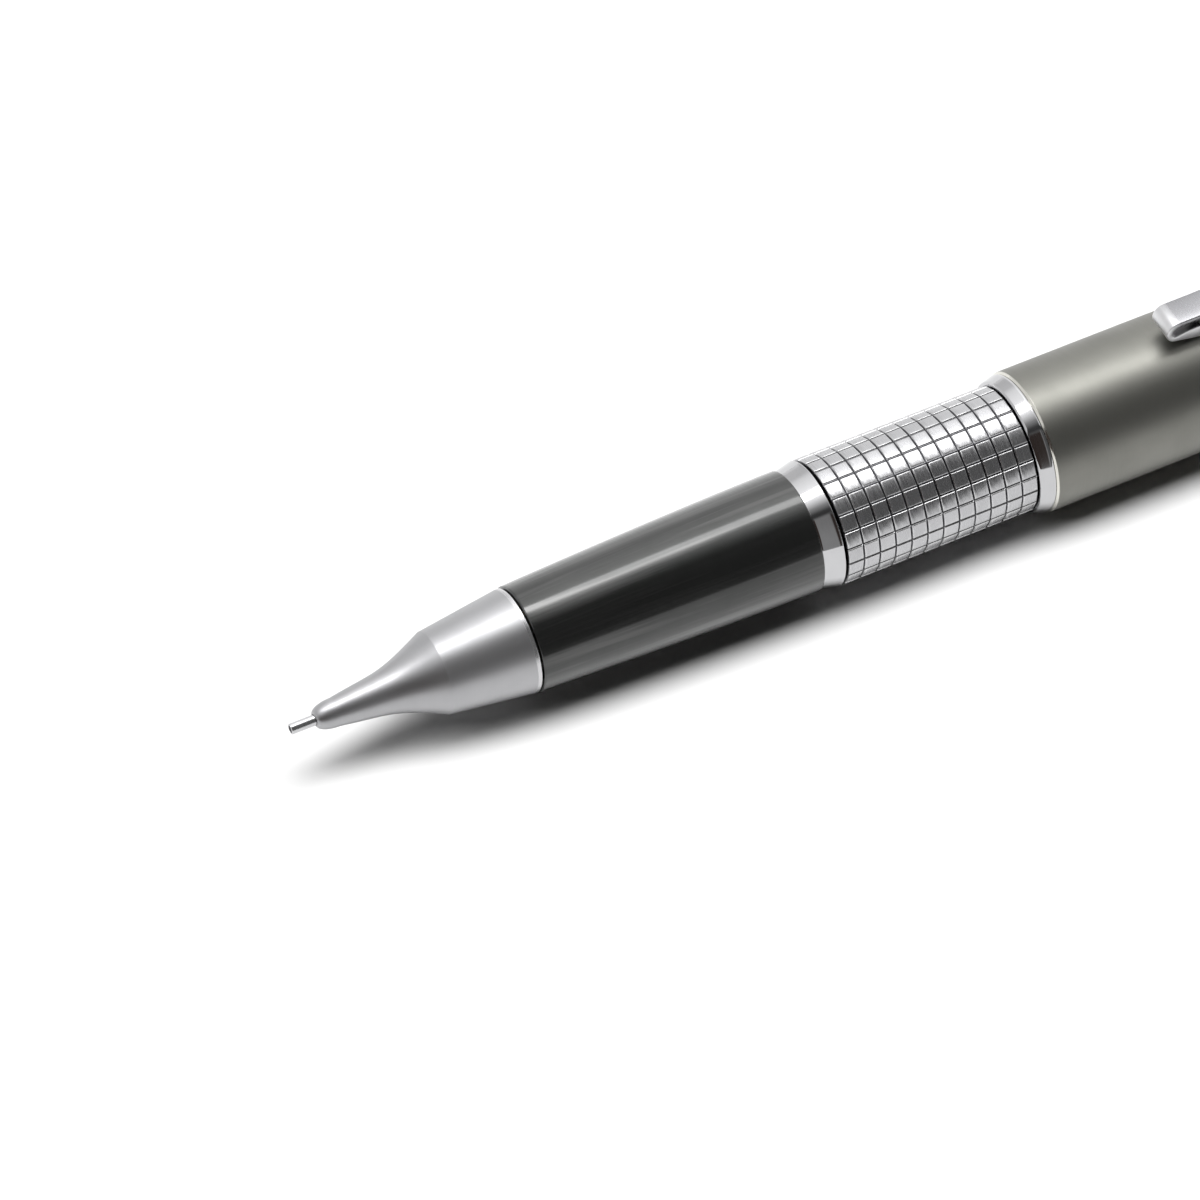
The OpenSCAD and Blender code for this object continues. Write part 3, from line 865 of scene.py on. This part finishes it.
# %% Make the finishes
finishes = {
    "satin_silver": finish("satin_silver", (0.41, 0.41, 0.42), (0.38, 0.38, 0.39), (0.66, 0.66, 0.67),
                           0.38, 0.04, rings=0.02, bump=0.03),
    "gunmetal_lacquer": finish("gunmetal_lacquer", (0.030, 0.031, 0.030), (0.022, 0.023, 0.022),
                               (0.10, 0.10, 0.10), 0.38, 0.04, rings=0.03, wear=0.2, bump=0.0,
                               Coat_Weight=1.0, Coat_Roughness=0.12, Coat_IOR=1.5),
    "bright_chrome": finish("bright_chrome", (0.53, 0.53, 0.54), (0.49, 0.49, 0.50), (0.70, 0.70, 0.70),
                            0.06, 0.04, rings=0.015, wear=0.1, bump=0.01),
    "anodised_cap": finish("anodised_cap", (0.216, 0.215, 0.196), (0.20, 0.199, 0.181), (0.62, 0.60, 0.52),
                           0.42, 0.03, rings=0.02, bump=0.03),
    "barrel_resin": finish("barrel_resin", (0.22, 0.215, 0.185), (0.19, 0.185, 0.16), (0.3, 0.3, 0.26),
                           0.3, 0.08, metallic=0.6),
    "brass": finish("brass", (0.65, 0.46, 0.18), (0.52, 0.36, 0.14), (0.85, 0.68, 0.35),
                    0.24, 0.15, rings=0.08),
    "steel": finish("steel", (0.55, 0.55, 0.56), (0.48, 0.48, 0.49), (0.8, 0.8, 0.8),
                    0.18, 0.08, rings=0.05),
    "black_resin": finish("black_resin", (0.03, 0.03, 0.032), (0.04, 0.04, 0.042), (0.1, 0.1, 0.1),
                          0.45, 0.12, metallic=0.0),
    "knurled_chrome": finish("knurled_chrome", (0.47, 0.47, 0.48), (0.42, 0.42, 0.43), (0.75, 0.75, 0.75),
                             0.24, 0.06, rings=0.04, bump=0.03),
    "clip_steel": finish("clip_steel", (0.27, 0.27, 0.28), (0.24, 0.24, 0.25), (0.7, 0.7, 0.7),
                         0.24, 0.05, rings=0.01, wear=0.03, bump=0.0),
    "pale_resin": finish("pale_resin", (0.62, 0.60, 0.54), (0.56, 0.54, 0.48), (0.7, 0.68, 0.62),
                         0.35, 0.12, metallic=0.0),
    "graphite": finish("graphite", (0.045, 0.045, 0.05), (0.03, 0.03, 0.034), (0.12, 0.12, 0.13),
                       0.42, 0.1, metallic=0.3),
    "rubber": finish("rubber", (0.02, 0.02, 0.02), (0.03, 0.03, 0.03), (0.06, 0.06, 0.06),
                     0.7, 0.1, metallic=0.0),
    "eraser_rubber": finish("eraser_rubber", (0.80, 0.79, 0.75), (0.72, 0.71, 0.67), (0.6, 0.6, 0.58),
                            0.65, 0.1, metallic=0.0),
}
print(len(finishes), "finishes")


# %% [markdown]
# ## Finishes that change along a piece
#
# Some pieces have two looks. The lacquer holds fine streaks, and the nose has a smoother turned rim whose
# lighter colour is a painted highlight. The cap's mouth has a painted highlight along its lip, the grooves
# between the squares have painted shade, and the clip's fold and tongue have a painted highlight. Each one
# is a mask from the place on the piece, and an overlay that changes colour and roughness through that
# mask.

# %% Streaks in the lacquer
lacquer = finishes["gunmetal_lacquer"]
nodes, links = lacquer.node_tree.nodes, lacquer.node_tree.links
grain_place = nodes.new("ShaderNodeTexCoord")
grain_stretch = nodes.new("ShaderNodeMapping")
grain_stretch.inputs["Scale"].default_value = (25, 1300, 1300)
links.new(grain_place.outputs["Object"], grain_stretch.inputs["Vector"])
grain = nodes.new("ShaderNodeTexNoise")
grain.inputs["Scale"].default_value = 1
grain.inputs["Detail"].default_value = 4
links.new(grain_stretch.outputs[0], grain.inputs["Vector"])
streaks = spread(nodes, links, grain.outputs[0], 0.5, 0.68, 0, 1)
overlay(lacquer, streaks, (0.056, 0.056, 0.055), 0.3)
print("streaks on", lacquer.name)

# %% Painted highlights on the nose's rim and the cap's lip, and painted shade in the band's grooves
def overlay_between(material, value, full_at, none_at, colour, roughness):
    """The overlay is whole where value reaches full_at, and gone at none_at. Both are in millimetres."""
    nodes, links = material.node_tree.nodes, material.node_tree.links
    mask = spread(nodes, links, value, full_at * MM, none_at * MM, 1, 0)
    overlay(material, mask, colour, roughness)
    print("overlay on", material.name)


painted_highlight_rim, painted_highlight_lip = 0.4, 0.15
# The nose's rim is smoother, and its lighter colour is a painted highlight.
along, out = place_nodes(finishes["satin_silver"])
overlay_between(finishes["satin_silver"], along, nose_rear - painted_highlight_rim, nose_rear - painted_highlight_rim - 0.1,
                (0.56, 0.56, 0.57), 0.26)
# The cap's lip gets a painted highlight: a pale, glossy colour along the mouth.
along, out = place_nodes(finishes["anodised_cap"])
overlay_between(finishes["anodised_cap"], along, cap_mouth + painted_highlight_lip, cap_mouth + painted_highlight_lip + 0.05,
                (0.66, 0.65, 0.60), 0.16)
# The grooves between the squares get painted shade: a dark colour wherever the surface lies below the
# squares' tops.
along, out = place_nodes(finishes["knurled_chrome"])
overlay_between(finishes["knurled_chrome"], out, band_radius - 0.13, band_radius - 0.07,
                (0.17, 0.17, 0.18), 0.3)

# %% Painted highlight on the fold and the tongue of the clip
clip_steel = finishes["clip_steel"]
nodes, links = clip_steel.node_tree.nodes, clip_steel.node_tree.links
fold_reach, tongue_top, tongue_reach = 0.75, 7.35, 6
along, out = place_nodes(clip_steel)
# The fold at the free end and the tongue under it get a painted highlight: a pale, rougher colour.
fold_highlight = spread(nodes, links, along, (clip_tip - 0.35) * MM, (clip_tip + fold_reach) * MM, 1, 0)
low_down = spread(nodes, links, out, tongue_top * MM, (tongue_top + 0.1) * MM, 1, 0)
near_front = spread(nodes, links, along, (clip_tip + tongue_reach) * MM,
                    (clip_tip + tongue_reach + 0.5) * MM, 1, 0)
on_tongue = nodes.new("ShaderNodeMath")
on_tongue.operation = "MULTIPLY"
links.new(low_down, on_tongue.inputs[0])
links.new(near_front, on_tongue.inputs[1])
pale = nodes.new("ShaderNodeMath")
pale.operation = "MAXIMUM"
links.new(fold_highlight, pale.inputs[0])
links.new(on_tongue.outputs[0], pale.inputs[1])
overlay(clip_steel, pale.outputs[0], (0.74, 0.74, 0.75), 0.45)
print("pale fold on", clip_steel.name)

# %% Put the finishes on the pieces
special = {band: "knurled_chrome", clip: "clip_steel"}
for piece, body, slot_name, node in rides:
    piece.data.materials.clear()
    piece.data.materials.append(finishes[special.get(piece, slot_name)])
for row in frame["record"]["subparts"]:
    node = frame["nodes"][row["node"]]
    for place in node.material_slots:
        place.material = finishes[row["material_slot"]]
print("finishes are on", len(rides), "new pieces and", len(frame["nodes"]), "CAD nodes")


# %% [markdown]
# ## The table and the light
#
# Polished metal looks like what stands round it, so the studio is designed for its reflections. A big
# softbox hangs overhead, a pale wall stands behind, and the side of the camera is darker. All of it is
# painted on the world by direction, which keeps it out of the way of a camera that looks from elsewhere.
# Matt surfaces get only a small share of it, and three soft lamps, which no reflection shows, light the
# table and throw the shadow. The table is a plain white sheet.

# %% Table
nothing_selected()
bpy.ops.mesh.primitive_plane_add(size=6)
table = bpy.context.object
table.name = table.data.name = "table_top"
edit_all()
bpy.ops.mesh.subdivide(number_cuts=2)
bpy.ops.object.mode_set(mode="OBJECT")
paper = bpy.data.materials.new("white_sheet")
paper.use_nodes = True
paper_shader = paper.node_tree.nodes["Principled BSDF"]
paper_shader.inputs["Base Color"].default_value = (0.5, 0.5, 0.5, 1)
paper_shader.inputs["Roughness"].default_value = 0.75
table.data.materials.append(paper)
print("table top at z =", table.location.z)

# %% World, and helpers to paint on it
world = bpy.data.worlds.new("studio")
bpy.context.scene.world = world
world.use_nodes = True
sky, wires = world.node_tree.nodes, world.node_tree.links
background = sky["Background"]
direction = sky.new("ShaderNodeTexCoord").outputs["Generated"]
parts = sky.new("ShaderNodeSeparateXYZ")
wires.new(direction, parts.inputs[0])
east, north, up = parts.outputs["X"], parts.outputs["Y"], parts.outputs["Z"]


def calculate(operation, first, second=0.0):
    node = sky.new("ShaderNodeMath")
    node.operation = operation
    for value, socket in ((first, node.inputs[0]), (second, node.inputs[1])):
        if isinstance(value, (int, float)):
            socket.default_value = value
        else:
            wires.new(value, socket)
    return node.outputs[0]


def tone_strip(value, low, high, stops):
    """A strip of tones: stops are (place, brightness), or (place, (red, green, blue))."""
    share = spread(sky, wires, value, low, high, 0, 1)
    strip = sky.new("ShaderNodeValToRGB")
    wires.new(share, strip.inputs[0])
    marks = strip.color_ramp.elements
    while len(marks) < len(stops):
        marks.new(0.5)
    for mark, (place, tone) in zip(marks, stops):
        mark.position = (place - low) / (high - low)
    for mark, (place, tone) in zip(marks, stops):
        mark.color = (*tone, 1) if isinstance(tone, tuple) else (tone, tone, tone, 1)
    return strip.outputs[0]


# %% Paint the softbox, the wall and the camera's side
softbox_power = 8.0
over_the_top = calculate("ARCTAN2", up, calculate("MULTIPLY", north, -1.0))
studio = tone_strip(over_the_top, 0, math.pi, [
    (math.radians(degrees), tone / softbox_power) for degrees, tone in (
        (0, 0.2), (58, 0.2), (63, 0.05), (68, 0.07), (78, 0.4), (88, 1.1), (96, 1.7), (99, 8.0),
        (110, 8.0), (112, 1.6), (140, 1.2), (150, 0.85), (180, 0.75),
    )
])
left_to_right = tone_strip(east, -1, 1, [
    (-0.15, (0.045 / softbox_power, 0.034 / softbox_power, 0.03 / softbox_power)),
    (-0.11, 0.34 / softbox_power),
    (-0.03, 0.34 / softbox_power),
    (0.03, 0.13 / softbox_power),
])
in_front = spread(sky, wires, over_the_top, math.radians(57), math.radians(61), 1, 0)
studio = mix_colour(sky, wires, in_front, studio, left_to_right)
box_x = calculate("DIVIDE", east, calculate("MAXIMUM", up, 0.02))
left_of_box = spread(sky, wires, box_x, -0.46, -0.34, 1, 0)
right_of_box = spread(sky, wires, box_x, 0.7, 0.9, 0, 1)
beside_box = calculate("ADD", left_of_box, right_of_box)
wall_low, wall_high = 1.2, 1.25
beside_box = calculate("MULTIPLY", beside_box, spread(sky, wires, over_the_top, wall_low, wall_high, 0, 1))
beside_tone = 0.9 / softbox_power
studio = mix_colour(sky, wires, beside_box, studio, (beside_tone, beside_tone, beside_tone))

# %% Brighten the right, and let only the lamps light matt surfaces fully
brighter_right = spread(sky, wires, east, 0.05, 0.26, 1, 1.4)
behind_box = spread(sky, wires, over_the_top, math.radians(110), math.radians(114), 0, 1)
gain = calculate("ADD", calculate("MULTIPLY", calculate("SUBTRACT", brighter_right, 1.0), behind_box), 1.0)
scaled = sky.new("ShaderNodeVectorMath")
scaled.operation = "SCALE"
wires.new(studio, scaled.inputs[0])
wires.new(gain, scaled.inputs["Scale"])
wires.new(scaled.outputs[0], background.inputs["Color"])
ray = sky.new("ShaderNodeLightPath")
fill_power = 0.09 * softbox_power
strength = spread(sky, wires, ray.outputs["Is Diffuse Ray"], 0, 1, softbox_power, fill_power)
wires.new(strength, background.inputs["Strength"])
print("studio painted on the world")

# %% A row of three lamps overhead
# The leans, the tilt and the spread are in degrees.
lamp_leans, lamp_tilt, lamp_spread = (-32, -4, 24), -0.5, 31
lamp_power, lamp_height = 2.55, 0.5
for number, lean in enumerate(lamp_leans):
    lamp_data = bpy.data.lights.new(f"overhead_{number}", "SUN")
    lamp_data.energy = lamp_power
    lamp_data.angle = math.radians(lamp_spread)
    lamp = bpy.data.objects.new(lamp_data.name, lamp_data)
    lamp.rotation_euler = (math.radians(lamp_tilt), math.radians(lean), 0)
    lamp.location = (math.sin(math.radians(lean)) * lamp_height, 0, lamp_height)
    lamp.visible_glossy = False
    bpy.context.scene.collection.objects.link(lamp)
print(len(lamp_leans), "lamps overhead")


# %% [markdown]
# ## The camera
#
# A long lens from well back keeps the pencil's proportions honest. The camera looks down at about fifty
# degrees, from the tip's side, and aims at the grip.

# %% Place the camera
look_azimuth, look_elevation = math.radians(-27.3), math.radians(49.4)
distance, frame_width = 0.75, 94.56 * MM
aim_at, aim_above = 27.18, 0.624
forward = Vector((
    -math.sin(look_azimuth) * math.cos(look_elevation),
    math.cos(look_azimuth) * math.cos(look_elevation),
    -math.sin(look_elevation),
))
camera_data = bpy.data.cameras.new("camera")
camera = bpy.data.objects.new("camera", camera_data)
bpy.context.scene.collection.objects.link(camera)
turn_camera = forward.to_track_quat("-Z", "Y")
camera_up = turn_camera @ Vector((0, 1, 0))
aim = Vector((tip_x + aim_at * MM, 0, axis_z)) + camera_up * (aim_above * MM)
camera.location = aim - forward * distance
camera.rotation_euler = turn_camera.to_euler()
camera_data.sensor_width = 36
camera_data.lens = camera_data.sensor_width * distance / frame_width
camera_data.clip_start = 0.01
bpy.context.scene.camera = camera
bpy.context.scene.view_settings.view_transform = "Standard"
print("lens", round(camera_data.lens, 1), "mm")
